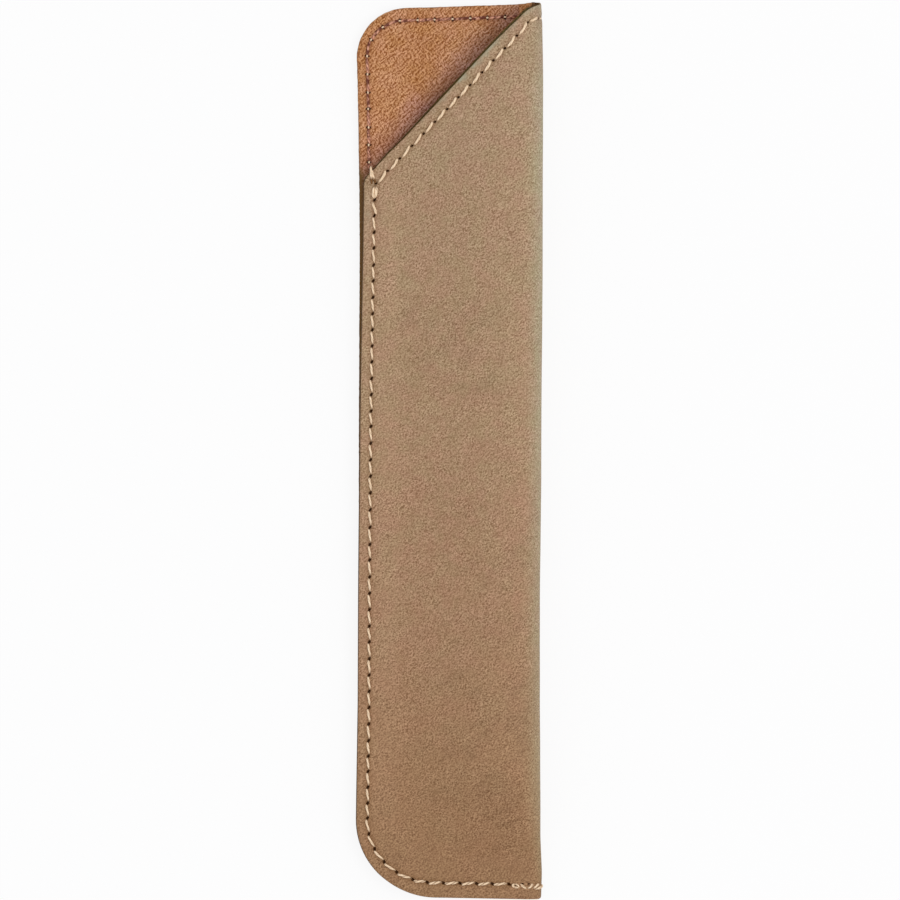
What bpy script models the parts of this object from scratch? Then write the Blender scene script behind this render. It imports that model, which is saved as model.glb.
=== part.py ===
"""A flat leatherette pen sleeve: one lined sheet folded along its right side, with a slanted mouth,
sewn with a row round its rim and a row that closes its left side and bottom.

It lies on its back wall. +Y is towards the mouth, +X towards the fold and +Z out of the front wall.
Units are metres.
"""

import math

import bmesh
import bpy
from mathutils import Vector

# Size of the sewn sleeve
case_length = 0.155
case_width = 0.0319
pocket_height = 0.0072      # clear height inside, at the fold
fold_depth = 0.0038         # how far the open fold bulges past the flat walls
bottom_taper = 0.020        # length over which the pocket closes towards the bottom seam

# The two layers of each wall
cover_thickness = 0.0009
lining_thickness = 0.0006
glue_gap = 0.0003
closed_gap = 0.0003         # between the two lining faces where the walls are sewn together

# Outline
top_corner_radius = 0.0083
bottom_corner_radius = 0.0134
top_lean_share = 0.034      # rise of the top edge towards the fold, per length of edge
bottom_lean_share = 0.018   # fall of the bottom edge towards the fold, per length of edge
fold_peak = 0.0004          # how much more the top edge rises where the fold stretches it
fold_peak_reach = 0.0025    # length over which it does
mouth_angle = math.radians(45.6)
mouth_line_end = 0.0012     # how far round the fold the straight mouth edge would meet the top
mouth_shoulder = 0.0025     # length over which the mouth edge eases into the top edge
mouth_corner_radius = 0.0022  # where the mouth edge meets the front's left edge
mouth_setback = 0.0007      # how far the front's left edge lies inside the back's, at the mouth
setback_length = 0.085

# Stitching
seam_inset = 0.0020         # from the front's left edge
bottom_inset = 0.0026       # of the same row, from the bottom edge
rim_inset = 0.0022
seam_pitch = 0.00280
rim_pitch = 0.00299
needle_thread_diameter = 0.0005
bobbin_thread_diameter = 0.0004
thread_gap = 0.00015        # from a thread to the sheet that it lies on
row_clearance = 0.0006      # from the end of one row to the thread of the other
stitch_slant = 0.00013      # half the sideways step of one stitch
hole_width_share = 0.55     # width of a thread where it goes down into a hole

# Flat land along a sewn edge, past the row of stitches
land_beyond_row = 0.0011
margin_fade = 0.0045        # length over which the back comes down from its sewn edge to the table

# Mesh counts
wall_columns = 13
fold_columns = 10
body_rows = 7
taper_rows = 6
fade_rows = 3
land_rows = 2
path_samples = 120

# What follows from the sizes above
stack = 2 * (cover_thickness + glue_gap + lining_thickness) + closed_gap
lining_depth = cover_thickness + glue_gap + lining_thickness
thread_stand = thread_gap + needle_thread_diameter / 2
bobbin_stand = thread_gap + bobbin_thread_diameter / 2
stitch_proud = thread_gap + needle_thread_diameter
margin_lift = stitch_proud + thread_gap
seam_land = seam_inset + land_beyond_row
left_x = -(case_width + stitch_proud) / 2
fold_x = left_x + case_width
mouth_slope = math.tan(mouth_angle)
open_half_height = (stack - closed_gap + pocket_height) / 2
setback_start_y = case_length / 2 - mouth_slope * case_width


def ease(t):
    """Smooth step from 0 to 1, level at both ends."""
    t = min(max(t, 0.0), 1.0)
    return t * t * (3.0 - 2.0 * t)


def mix(a, b, t):
    return a + (b - a) * t


# Outline of the back wall, in plan


def top_line(x):
    from_fold = fold_x - x
    peak = fold_peak * (1.0 - math.exp(-from_fold / fold_peak_reach))
    return case_length / 2 - top_lean_share * from_fold - peak


def bottom_line(x):
    return -case_length / 2 + bottom_lean_share * (fold_x - x)


def corner_cut(inset, radius):
    """How far a rounded corner takes the edge in, at a distance `inset` from the side."""
    if inset >= radius:
        return 0.0
    return radius - math.sqrt(max(radius ** 2 - (radius - inset) ** 2, 0.0))


def bottom_edge(x):
    return bottom_line(x) + corner_cut(x - left_x, bottom_corner_radius)


def back_top_edge(x):
    return top_line(x) - corner_cut(x - left_x, top_corner_radius)


def sewn_edge_distance(x, y):
    """Distance in from the left, top or bottom edge of the back wall, whichever is nearest."""
    side = x - left_x
    nearest = side
    corners = (
        (y - bottom_line(x), bottom_corner_radius),
        (top_line(x) - y, top_corner_radius),
    )
    for end, radius in corners:
        if side < radius and end < radius:
            nearest = min(nearest, radius - math.hypot(radius - side, radius - end))
        else:
            nearest = min(nearest, end)
    return nearest


# The folded outer skin


def opened(y):
    """0 along the bottom seam, 1 where the pocket has its full height."""
    return ease((y - bottom_line(left_x) - seam_land) / bottom_taper)


def fold_reach(y):
    """How far the fold bulges past the walls: a half circle where it is pinched, less when open."""
    half_height = mix(stack / 2, open_half_height, opened(y))
    return half_height * mix(1.0, fold_depth / open_half_height, opened(y))


def crown_x(y):
    """Where the walls end and the fold begins."""
    return fold_x - fold_reach(y)


def back_height(x, y):
    """Height of the back's outer face: flat on the table, and lifted along the sewn edges."""
    inward = sewn_edge_distance(x, y) - seam_land
    return margin_lift * (1.0 - ease(inward / margin_fade))


def parted(x, y):
    """0 where the walls are sewn together, 1 where they are fully apart."""
    start = left_x + seam_land
    return opened(y) * ease((x - start) / (crown_x(y) - start))


def front_height(x, y):
    """Height of the front's outer face, which keeps level where only the back lifts."""
    apart = parted(x, y)
    closed = back_height(x, y) + stack
    return mix(closed, stack - closed_gap + pocket_height, apart)


def wall_gap(x, y):
    """Clear height between the two lining faces."""
    return front_height(x, y) - back_height(x, y) - stack + closed_gap


def front_left(y):
    """Left edge of the front wall, set in from the back's towards the mouth."""
    fade = 1.0 - (setback_start_y - y) / setback_length
    return left_x + mouth_setback * min(max(fade, 0.0), 1.0) ** 2


def skin(wall, place, y):
    """A point of the outer skin. `place` is x on the back and front, and the angle round the fold,
    from -90 degrees at the back to 90 at the front."""
    if wall == "back":
        return Vector((place, y, back_height(place, y)))
    if wall == "front":
        return Vector((place, y, front_height(place, y)))
    x = crown_x(y)
    low, high = back_height(x, y), front_height(x, y)
    return Vector((
        x + fold_reach(y) * math.cos(place),
        y,
        (low + high) / 2 + (high - low) / 2 * math.sin(place),
    ))


def skin_normal(wall, place, y):
    """Outward normal, from small steps along the skin."""
    step = cover_thickness / 100
    turn = step / fold_depth if wall == "fold" else step
    if wall == "front":
        turn = -turn
    across = skin(wall, place + turn, y) - skin(wall, place - turn, y)
    along = skin(wall, place, y + step) - skin(wall, place, y - step)
    return across.cross(-along).normalized()


def stand_off(wall, place, y, stand):
    """A point `stand` outside the skin, or inside it where `stand` is negative."""
    return skin(wall, place, y) + skin_normal(wall, place, y) * stand


# The mouth edge, as a line in the flat sheet that eases into the back's top


def open_fold_length():
    return math.pi * math.sqrt((fold_depth ** 2 + open_half_height ** 2) / 2)


def run_from_crown(wall, place):
    """Distance along the sheet from the front's end of the fold, positive on the front."""
    crown = fold_x - fold_depth
    if wall == "front":
        return crown - place
    if wall == "fold":
        return -open_fold_length() * (0.5 - place / math.pi)
    return -open_fold_length() - (crown - place)


def mouth_drop(run):
    """How far the mouth edge lies below the top line, and its slope there."""
    line = mouth_slope * (run + mouth_line_end)
    root = math.hypot(line, mouth_shoulder)
    drop = (line + root) / 2
    return drop, mouth_slope * drop / root


def mouth_corner_cut(inset):
    """How far a rounded corner takes the mouth edge down, at a distance `inset` from the side."""
    radius = mouth_corner_radius
    touch = radius * (1.0 - math.sin(mouth_angle))
    if inset >= touch:
        return 0.0
    arc = math.sqrt(max(radius ** 2 - (radius - inset) ** 2, 0.0))
    return radius * math.cos(mouth_angle) - mouth_slope * (touch - inset) - arc


def top_edge(wall, place):
    """Upper edge of the sheet at a place on the back, the fold or the front."""
    drop, _ = mouth_drop(run_from_crown(wall, place))
    if wall == "back":
        return back_top_edge(place) - drop
    if wall == "fold":
        return top_line(fold_x - fold_depth * (1.0 - math.cos(place))) - drop
    return top_line(place) - drop - mouth_corner_cut(place - left_x - mouth_setback)


# The sheets: flat grids, bent along the fold


def column_places():
    """(wall, share) of each column, from the back's left edge round to the front's.

    The share is the distance from the left edge to the crown, and on the fold the angle."""
    quarter = math.pi / 2
    shares = [1.0 - math.cos(quarter * k / wall_columns) for k in range(wall_columns + 1)]
    angles = [-quarter + math.pi * k / fold_columns for k in range(1, fold_columns)]
    back = [("back", share) for share in shares]
    fold = [("fold", angle) for angle in angles]
    front = [("front", share) for share in reversed(shares)]
    return back + fold + front


def wall_x(wall, share, y):
    left = left_x if wall == "back" else front_left(y)
    return mix(left, crown_x(y), share)


def row_heights(low, high):
    """Y of each row between the ends of one column, closer where the sheet bends."""
    land = [seam_land * k / land_rows for k in range(land_rows + 1)]
    rows = [low + step for step in land]
    rows += [low + seam_land + bottom_taper * k / taper_rows for k in range(1, taper_rows + 1)]
    upper = [high - step for step in land]
    upper += [high - seam_land - margin_fade * k / fade_rows for k in range(1, fade_rows + 1)]
    start, end = rows[-1], upper[-1]
    rows += [mix(start, end, k / body_rows) for k in range(1, body_rows)]
    return rows + upper[::-1]


def column_points(wall, share, stand):
    if wall == "fold":
        low = bottom_line(fold_x)
        rows = row_heights(low, top_edge(wall, share))
        return [stand_off(wall, share, y, stand) for y in rows]
    low_y = bottom_line(left_x)
    high_y = case_length / 2
    low = bottom_edge(wall_x(wall, share, low_y))
    high = top_edge(wall, wall_x(wall, share, high_y))
    rows = row_heights(low, high)
    return [stand_off(wall, wall_x(wall, share, y), y, stand) for y in rows]


def folded_sheet(name, stand, thickness, material):
    """An open sheet bent to the sleeve's shape, thickened inwards."""
    columns = [column_points(wall, share, stand) for wall, share in column_places()]
    rows = len(columns[0])
    mesh = bpy.data.meshes.new(name)
    work = bmesh.new()
    bmesh.ops.create_grid(work, x_segments=len(columns) - 1, y_segments=rows - 1, size=1.0)
    for vert in work.verts:
        column = round((vert.co.x + 1.0) / 2 * (len(columns) - 1))
        row = round((vert.co.y + 1.0) / 2 * (rows - 1))
        vert.co = columns[column][row]
    # The grid's upper face turns into the inside of the sleeve.
    bmesh.ops.reverse_faces(work, faces=work.faces)
    work.normal_update()
    work.to_mesh(mesh)
    work.free()
    sheet = bpy.data.objects.new(name, mesh)
    parts.objects.link(sheet)
    shell = sheet.modifiers.new("thickness", "SOLIDIFY")
    shell.thickness = thickness
    shell.offset = -1.0
    mesh.materials.append(material)
    mesh.shade_smooth()
    mesh.set_sharp_from_angle(angle=math.radians(50))
    return sheet


# The rows of stitches


def samples(start, end, count):
    return [mix(start, end, k / (count - 1)) for k in range(count)]


def corner_sites(wall, centre_x, centre_y, across, along, start, end):
    return [
        (wall, centre_x + across * math.cos(turn), centre_y + along * math.sin(turn))
        for turn in samples(start, end, path_samples)
    ]


def seam_sites(wall):
    """The closing row: down the left side, round the corner and along the bottom to the fold."""
    centre_x = left_x + bottom_corner_radius
    centre_y = bottom_line(centre_x) + bottom_corner_radius
    start_x = left_x + mouth_setback + seam_inset
    start_y = top_edge("front", start_x) - seam_inset
    sites = [
        (wall, front_left(y) + seam_inset, y)
        for y in samples(start_y, centre_y, path_samples)
    ]
    across = bottom_corner_radius - seam_inset
    along = bottom_corner_radius - bottom_inset
    sites += corner_sites(wall, centre_x, centre_y, across, along, math.pi, 1.5 * math.pi)
    end_x = crown_x(bottom_line(fold_x))
    sites += [
        (wall, x, bottom_line(x) + bottom_inset) for x in samples(centre_x, end_x, path_samples)
    ]
    return sites


def rim_sites(first_x):
    """The rim row: up the slanted mouth, over the fold, along the back's top and down its left side."""
    crown = fold_x - fold_depth
    sites = []
    for x in samples(first_x, crown, path_samples):
        _, slope = mouth_drop(run_from_crown("front", x))
        sites.append(("front", x, top_edge("front", x) - rim_inset * math.hypot(1.0, slope)))
    for angle in samples(math.pi / 2, -math.pi / 2, path_samples):
        _, slope = mouth_drop(run_from_crown("fold", angle))
        sites.append(("fold", angle, top_edge("fold", angle) - rim_inset * math.hypot(1.0, slope)))
    centre_x = left_x + top_corner_radius
    centre_y = top_line(centre_x) - top_corner_radius
    sites += [
        ("back", x, top_edge("back", x) - rim_inset) for x in samples(crown, centre_x, path_samples)
    ]
    reach = top_corner_radius - rim_inset
    sites += corner_sites("back", centre_x, centre_y, reach, reach, math.pi / 2, math.pi)
    seam_start = top_edge("front", left_x + mouth_setback + seam_inset) - seam_inset
    end_y = seam_start + seam_inset
    sites += [
        ("back", left_x + rim_inset, y) for y in samples(centre_y, end_y, path_samples)
    ]
    return sites


def rim_start(stand):
    """Where the rim row begins on the front: clear of the closing row, and inside the pocket only
    where the walls have parted enough for the thread."""
    start = left_x + mouth_setback + seam_inset + needle_thread_diameter + row_clearance
    if stand > 0:
        return start
    room = bobbin_thread_diameter + 2 * thread_gap
    mouth_y = top_edge("front", start)
    for x in samples(start, fold_x - fold_depth, path_samples):
        if wall_gap(x, mouth_y) > room:
            return x
    return start


def even_places(points, pitch, per_stitch):
    """Fractional indices into the path at equal lengths, `per_stitch` to a stitch."""
    lengths = [0.0]
    for before, after in zip(points, points[1:]):
        lengths.append(lengths[-1] + (after - before).length)
    stitches = max(round(lengths[-1] / pitch), 1)
    places = []
    index = 0
    for k in range(stitches * per_stitch + 1):
        wanted = lengths[-1] * k / (stitches * per_stitch)
        while index < len(points) - 2 and lengths[index + 1] < wanted:
            index += 1
        span = lengths[index + 1] - lengths[index]
        places.append((index, (wanted - lengths[index]) / span if span else 0.0))
    return places


# Place in a stitch, width of the thread there, and its sideways step, as shares
stitch_shape_shares = ((0.0, hole_width_share, 0.0), (0.22, 1.0, -1.0), (0.78, 1.0, 1.0))
shape_steps = 50


def thread(name, sites, stand, diameter, pitch, sides, material):
    """A continuous thread lying on the skin: full in the middle of each stitch, thin at the holes."""
    side = 1.0 if stand > 0 else -1.0
    surface = stand - side * diameter / 2
    points = [stand_off(*site, stand) for site in sites]
    places = even_places(points, pitch, shape_steps)
    route = []
    stitches = (len(places) - 1) // shape_steps
    for stitch in range(stitches + 1):
        for share, width, step in stitch_shape_shares:
            k = stitch * shape_steps + round(share * shape_steps)
            if k >= len(places):
                continue
            index, part = places[k]
            here, after = sites[index], sites[index + 1]
            if here[0] != after[0]:
                after, part = here, 0.0
            wall = here[0]
            place = mix(here[1], after[1], part)
            y = mix(here[2], after[2], part)
            centre = stand_off(wall, place, y, surface + side * width * diameter / 2)
            forward = (points[index + 1] - points[index]).normalized()
            sideways = skin_normal(wall, place, y).cross(forward)
            route.append((centre + sideways * stitch_slant * step, width))
    curve = bpy.data.curves.new(name, "CURVE")
    curve.dimensions = "3D"
    curve.bevel_depth = diameter / 2
    curve.bevel_resolution = (sides - 4) // 2
    curve.use_fill_caps = True
    spline = curve.splines.new("POLY")
    spline.points.add(len(route) - 1)
    for point, (place, width) in zip(spline.points, route):
        point.co = (*place, 1.0)
        point.radius = width
    curve.materials.append(material)
    made = bpy.data.objects.new(name, curve)
    parts.objects.link(made)
    return made


def finish(name, colour, roughness):
    material = bpy.data.materials.new(name)
    material.use_nodes = True
    shader = material.node_tree.nodes["Principled BSDF"]
    shader.inputs["Base Color"].default_value = (*colour, 1.0)
    shader.inputs["Roughness"].default_value = roughness
    shader.inputs["Metallic"].default_value = 0.0
    return material


for old in list(bpy.data.objects):
    bpy.data.objects.remove(old)
parts = bpy.data.collections.new("pen_case")
bpy.context.scene.collection.children.link(parts)

leatherette = finish("leatherette", (0.38, 0.25, 0.16), 0.62)
suede = finish("suede", (0.44, 0.21, 0.095), 0.95)
cream_thread = finish("cream_thread", (0.78, 0.66, 0.50), 0.7)
mauve_thread = finish("mauve_thread", (0.20, 0.12, 0.10), 0.75)

folded_sheet("cover", 0.0, cover_thickness, leatherette)
folded_sheet("lining", -(cover_thickness + glue_gap), lining_thickness, suede)

inner_stand = -(lining_depth + bobbin_stand)
thread(
    "seam_needle_thread", seam_sites("front"), thread_stand, needle_thread_diameter,
    seam_pitch, 6, cream_thread,
)
thread(
    "seam_bobbin_thread", seam_sites("back"), bobbin_stand, bobbin_thread_diameter,
    seam_pitch, 4, mauve_thread,
)
thread(
    "rim_needle_thread", rim_sites(rim_start(thread_stand)), thread_stand,
    needle_thread_diameter, rim_pitch, 6, cream_thread,
)
thread(
    "rim_bobbin_thread", rim_sites(rim_start(inner_stand)), inner_stand,
    bobbin_thread_diameter, rim_pitch, 4, mauve_thread,
)
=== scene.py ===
"""The looks of a flat leatherette pen sleeve: two bonded sheets folded along the right side, with a
slanted mouth, a brushed suede lining and two rows of lockstitch. Units are metres, in the frame's axes."""

import math

import bpy
import numpy as np
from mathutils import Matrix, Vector
from mathutils.geometry import delaunay_2d_cdt
from mathutils.kdtree import KDTree


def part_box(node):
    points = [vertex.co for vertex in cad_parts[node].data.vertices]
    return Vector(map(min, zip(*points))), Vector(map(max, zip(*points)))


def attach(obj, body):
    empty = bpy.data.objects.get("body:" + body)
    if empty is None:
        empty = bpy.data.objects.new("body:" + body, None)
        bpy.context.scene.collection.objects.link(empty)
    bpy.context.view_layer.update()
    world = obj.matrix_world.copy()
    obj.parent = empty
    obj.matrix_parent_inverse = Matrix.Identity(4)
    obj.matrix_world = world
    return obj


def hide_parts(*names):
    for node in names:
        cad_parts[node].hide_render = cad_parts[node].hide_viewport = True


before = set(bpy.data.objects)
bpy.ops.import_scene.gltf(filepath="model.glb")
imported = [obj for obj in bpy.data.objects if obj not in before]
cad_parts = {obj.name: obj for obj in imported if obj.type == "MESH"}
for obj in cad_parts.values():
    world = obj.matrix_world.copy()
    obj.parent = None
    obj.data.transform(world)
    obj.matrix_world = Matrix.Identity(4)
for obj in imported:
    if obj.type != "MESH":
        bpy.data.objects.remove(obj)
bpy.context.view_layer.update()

# Sizes of the sleeve, with a shorter setback than the frame's, as in the photograph
case_length, case_width = 0.155, 0.0319
pocket_height, fold_depth, bottom_taper = 0.0072, 0.0038, 0.020
stack, closed_gap = 0.0039, 0.0003
seam_land = 0.0031
margin_lift, margin_fade = 0.0008, 0.0045
top_radius, bottom_radius = 0.0083, 0.0134
top_lean, bottom_lean = 0.034, 0.018
fold_peak, fold_peak_reach = 0.0004, 0.0025
mouth_angle = math.radians(45.6)
mouth_line_end, mouth_shoulder, mouth_radius = 0.0012, 0.0025, 0.0022
mouth_setback, setback_length = 0.0007, 0.072

# The two sheets as they are seen, which touch where the frame's keep a gap
cover_thickness = 0.00105
lining_thickness = 0.00078
glue_line = 0.00001
lining_start = cover_thickness + glue_line
lining_face = lining_start + lining_thickness

# Stitching
seam_inset, bottom_inset = 0.00198, 0.00258
rim_inset, rim_side_inset = 0.00225, 0.0018
row_lead = 0.00024
seam_stitches, rim_pitch = 50, 0.00299
seam_end = 0.00563          # from the last even stitch to the fold
seam_lag = 0.00060
needle_radius, bobbin_radius = 0.00025, 0.00024

photo_width = 900 * (case_length / 898)     # what the photograph shows, at 898 pixels for the case

low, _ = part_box("cover")
left_x = low[0]
fold_x = left_x + case_width
mouth_slope = math.tan(mouth_angle)
open_half_height = (stack - closed_gap + pocket_height) / 2
crown_open = fold_x - fold_depth
wall_width = crown_open - left_x
fold_length = math.pi * math.sqrt((fold_depth ** 2 + open_half_height ** 2) / 2)
sheet_width = 2 * wall_width + fold_length
setback_start_y = case_length / 2 - mouth_slope * case_width


def ease(t):
    """Smooth step from 0 to 1, level at both ends."""
    t = np.clip(t, 0.0, 1.0)
    return t * t * (3.0 - 2.0 * t)


def mix(a, b, t):
    return a + (b - a) * t


def rise(value, start, length):
    """Smooth step from 0 to 1 over a length, from the start on."""
    return ease((value - start) / length)


def fade_out(value, end, length):
    """Smooth step from 1 to 0 over a length, up to the end."""
    return ease((end - value) / length)


def shares(count):
    return np.linspace(0.0, 1.0, count)


def joined(first, second):
    """Pairs of a value from each of two arrays."""
    return np.stack([first, second], axis=-1)


def bell(value, middle, width):
    return np.exp(-(((value - middle) / width) ** 2))


def unit(vectors):
    return vectors / np.linalg.norm(vectors, axis=-1, keepdims=True)


def quarter(ways):
    """Ways turned a quarter, from u towards y."""
    return joined(-ways[..., 1], ways[..., 0])


def lengths_along(points):
    """How far along a line each of its points is."""
    steps = np.linalg.norm(np.diff(points, axis=0), axis=1)
    return np.concatenate([[0.0], np.cumsum(steps)])


# The folded skin. u runs across the flat sheet from the back's left edge to the front's, and y along it


def top_line(x):
    """The top's slope, with a small peak where the fold stretches it."""
    away = fold_x - x
    return case_length / 2 - top_lean * away - fold_peak * (1.0 - np.exp(-away / fold_peak_reach))


def bottom_line(x):
    return -case_length / 2 + bottom_lean * (fold_x - x)


def corner_cut(inset, radius):
    """How far a rounded corner takes the edge in, at a distance from the side."""
    reach = np.clip(radius - inset, 0.0, radius)
    return radius - np.sqrt(np.maximum(radius ** 2 - reach ** 2, 0.0))


def sewn_edge_distance(x, y):
    """Distance in from the nearest of the back's left, top and bottom edges."""
    side = least = x - left_x
    for end, radius in ((y - bottom_line(x), bottom_radius), (top_line(x) - y, top_radius)):
        round_end = radius - np.hypot(radius - side, radius - end)
        in_corner = (side < radius) & (end < radius)
        least = np.minimum(least, np.where(in_corner, round_end, end))
    return least


def opened(y):
    return ease((y - bottom_line(left_x) - seam_land) / bottom_taper)


def fold_reach(y):
    half = mix(stack / 2, open_half_height, opened(y))
    return half * mix(1.0, fold_depth / open_half_height, opened(y))


def crown_x(y):
    return fold_x - fold_reach(y)


def back_height(x, y):
    inward = sewn_edge_distance(x, y) - seam_land
    return margin_lift * (1.0 - ease(inward / margin_fade))


def front_height(x, y):
    start = left_x + seam_land
    apart = opened(y) * ease((x - start) / (crown_x(y) - start))
    return mix(back_height(x, y) + stack, 2 * open_half_height, apart)


def front_left(y):
    fade = np.clip(1.0 - (setback_start_y - y) / setback_length, 0.0, 1.0)
    return left_x + mouth_setback * fade ** 2


# The sides aren't quite straight: how many mm each leaves its line, at shares of the length
sway_shares = (
    -0.50, -0.47, -0.43, -0.39, -0.28, -0.17, -0.06, 0.04,
    0.11, 0.22, 0.29, 0.335, 0.37, 0.41, 0.44, 0.48, 0.50,
)
left_sway = (
    0.12, -0.26, -0.24, -0.16, 0.11, 0.17, 0.27, 0.29,
    0.34, 0.42, 0.37, 0.24, 0.17, 0.05, -0.08, -0.05, 0.0,
)
right_sway = (
    -0.15, -0.02, -0.28, -0.31, -0.38, -0.35, -0.20, -0.10,
    0.0, 0.10, 0.12, 0.14, 0.16, 0.17, 0.12, -0.02, -0.24,
)
sway_unit = 0.001


def sway(x, y):
    share = (x - left_x) / case_width
    left, right = (np.interp(y / case_length, sway_shares, side) for side in (left_sway, right_sway))
    return sway_unit * mix(left, right, np.clip(share, 0.0, 1.0))


def fold_angle(u):
    """Angle round the fold, from straight down at the back to straight up at the front."""
    return (np.clip((u - wall_width) / fold_length, 0.0, 1.0) - 0.5) * math.pi


def skin(u, y):
    """Points of the outer skin for arrays of u and y."""
    u, y = np.broadcast_arrays(np.asarray(u, float), np.asarray(y, float))
    crown = crown_x(y)
    back_x = mix(left_x, crown, np.clip(u / wall_width, -0.1, 1.0))
    front_x = mix(front_left(y), crown, np.clip((sheet_width - u) / wall_width, -0.1, 1.0))
    low_z, high_z = back_height(crown, y), front_height(crown, y)
    around_x = crown + fold_reach(y) * np.cos(fold_angle(u))
    around_z = (low_z + high_z) / 2 + (high_z - low_z) / 2 * np.sin(fold_angle(u))
    walls = [u <= wall_width, u >= wall_width + fold_length]
    x = np.select(walls, [back_x, front_x], around_x)
    z = np.select(walls, [back_height(back_x, y), front_height(front_x, y)], around_z)
    return np.stack([x + sway(x, y), y, z], axis=-1)


normal_step = 0.00004


def skin_normal(u, y):
    across = skin(u + normal_step, y) - skin(u - normal_step, y)
    along = skin(u, y + normal_step) - skin(u, y - normal_step)
    return unit(np.cross(along, across))


def front_u(x, y):
    """The sheet's u of a place on the front, or on the fold's upper half."""
    crown, left = crown_x(y), front_left(y)
    angle = np.arccos(np.clip((x - crown) / fold_reach(y), 0.0, 1.0))
    on_fold = wall_width + fold_length * (0.5 + angle / math.pi)
    return np.where(x > crown, on_fold, sheet_width - wall_width * (x - left) / (crown - left))


def back_u(x, y):
    return wall_width * (x - left_x) / (crown_x(y) - left_x)


# The cut outline of the flat sheet


def mouth_line(run):
    """How far the mouth's straight line lies below the top line."""
    return mouth_slope * (run + mouth_line_end)


def shouldered(line, length):
    """A line that leaves 0 over a shoulder, in place of a corner."""
    return (line + np.hypot(line, length)) / 2


def mouth_run(u):
    """Plan distance from the fold's front end at the mouth, which is negative on the fold."""
    run = u - wall_width - fold_length
    return np.where(run > 0.0, run * (1.0 - mouth_setback / wall_width), run)


def place_at_top(u):
    """Plan x of a place across the sheet where the pocket is fully open."""
    on_fold = fold_x - fold_depth * (1.0 - np.cos(fold_angle(u)))
    x = np.where(u < wall_width, left_x + u, on_fold)
    return np.where(u > wall_width + fold_length, crown_open - mouth_run(u), x)


def mouth_corner_cut(inset):
    """How far the mouth's lower corner, an arc, lies under the mouth's line."""
    radius = mouth_radius
    touch = radius * (1.0 - math.sin(mouth_angle))
    inset = np.clip(inset, 0.0, touch)
    arc = np.sqrt(radius ** 2 - (radius - inset) ** 2)
    return radius * math.cos(mouth_angle) - mouth_slope * (touch - inset) - arc


def top_edge(u):
    x = place_at_top(u)
    drop = shouldered(mouth_line(mouth_run(u)), mouth_shoulder)
    rounded = np.where(u < wall_width, corner_cut(x - left_x, top_radius), 0.0)
    rounded = rounded + mouth_corner_cut(sheet_width - u)
    return top_line(x) - drop - rounded


fold_tuck = 0.00015         # how far the bottom edge is drawn in at the fold
fold_tuck_reach = 0.0016


def bottom_edge(u):
    from_left = np.minimum(u, sheet_width - u)
    closed_width = fold_x - stack / 2 - left_x
    x = left_x + closed_width * np.clip(from_left / wall_width, 0.0, 1.0)
    tuck = fold_tuck * bell(u, sheet_width / 2, fold_tuck_reach)
    return bottom_line(x) + corner_cut(x - left_x, bottom_radius) + tuck


outline_step = 0.0005
corner_steps = 26


def outline():
    """The sheet's outline as an array of (u, y), anticlockwise from the back's lower left."""
    turn = np.linspace(0.0, math.pi / 2, corner_steps)
    near = bottom_radius * (1.0 - np.cos(turn))
    middle = np.arange(near[-1] + outline_step, sheet_width - near[-1], outline_step)
    us = np.concatenate([near, middle, sheet_width - near[::-1]])
    bottom = joined(us, bottom_edge(us))
    top = joined(us, top_edge(us))[::-1]
    sides = []
    for start, end in ((bottom[-1], top[0]), (top[-1], bottom[0])):
        count = int(abs(end[1] - start[1]) / outline_step)
        sides.append(mix(start, end, shares(count + 1)[1:-1, None]))
    return np.concatenate([bottom, sides[0], top, sides[1]])


# The rows of stitches, as lines on the flat sheet

pitch_waver = 0.00006
row_samples = 300
row_start_u = sheet_width - (seam_inset + row_lead) / (1.0 - mouth_setback / wall_width)
rim_end_gap = 0.0003        # from the rim row's end on the back to the front's mouth edge
rim_last_stitch = 0.0014    # a short one
mouth_stitches = 13
row_shoulder = 0.0009
row_drift, row_drift_start = 0.0237, 0.0243     # per length, and how far from the fold it starts
lag_start, lag_end = (0.36, 0.09), (0.79, 0.10)


def mouth_row_y(u):
    """The row along the mouth, which drifts away from the edge towards the fold."""
    run = mouth_run(u)
    beside_line = rim_inset * (math.hypot(1.0, mouth_slope) - 1.0)
    line = mouth_line(run) + beside_line
    drift = row_drift * np.maximum(row_drift_start - run, 0.0) * ease(2 * (1.0 + run / fold_length))
    return top_line(place_at_top(u)) - rim_inset - shouldered(line, row_shoulder) - drift


def samples(start, end):
    return np.linspace(start, end, row_samples)


def corner_arc(x, y, radius, start, side_inset, end_inset):
    """A quarter turn round a corner's centre, at its insets from the side and from the end."""
    turn = samples(start, start + math.pi / 2)
    return x + (radius - side_inset) * np.cos(turn), y + (radius - end_inset) * np.sin(turn)


def wall_line(wall_u, parts):
    """A line on the flat sheet, from parts that are given by x and y on a wall."""
    xs, ys = (np.concatenate(values) for values in zip(*parts))
    return joined(wall_u(xs, ys), ys)


def seam_line(wall_u):
    """The closing row: down the left side, round the corner and along the bottom."""
    start_y = float(mouth_row_y(np.array(row_start_u)))
    centre_x = left_x + bottom_radius
    centre_y = bottom_line(centre_x) + bottom_radius
    side_y = samples(start_y, centre_y)
    lead = row_lead * (1.0 - ease((start_y - side_y) / rim_pitch))
    side_x = front_left(side_y) + seam_inset + lead
    corner = corner_arc(centre_x, centre_y, bottom_radius, math.pi, seam_inset, bottom_inset)
    end_x = samples(centre_x, fold_x - seam_end)
    return wall_line(wall_u, ((side_x, side_y), corner, (end_x, bottom_line(end_x) + bottom_inset)))


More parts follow.
